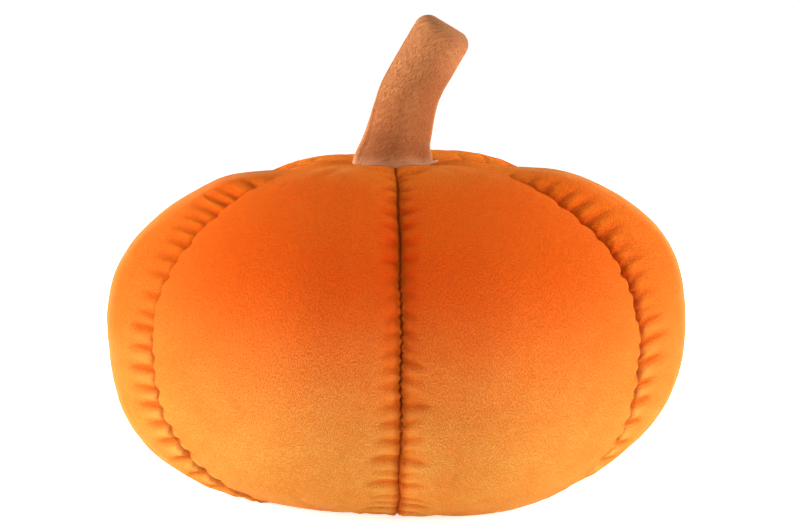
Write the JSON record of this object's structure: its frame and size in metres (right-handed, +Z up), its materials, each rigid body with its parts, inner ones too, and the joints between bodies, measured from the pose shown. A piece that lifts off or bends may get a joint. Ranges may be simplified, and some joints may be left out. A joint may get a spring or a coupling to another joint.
{
  "type": "pumpkin cushion",
  "caption": "Plush pumpkin cushion: a flattened round filled body with deep gathered seams between its lobes, and a bent filled fabric stem on top.",
  "frame": {"origin": "middle of the underside, on the surface that the cushion rests on", "axes": "+Z up, +X to the right and +Y to the back as the front seam is seen; the stem leans towards +X"},
  "size_m": [0.359, 0.3458, 0.2942],
  "materials": {
    "orange_plush": "short-pile plush",
    "stem_plush": "short-pile plush"
  },
  "bodies": {
    "root": {"body": "orange_plush", "stem": "stem_plush"}
  },
  "joints": []
}
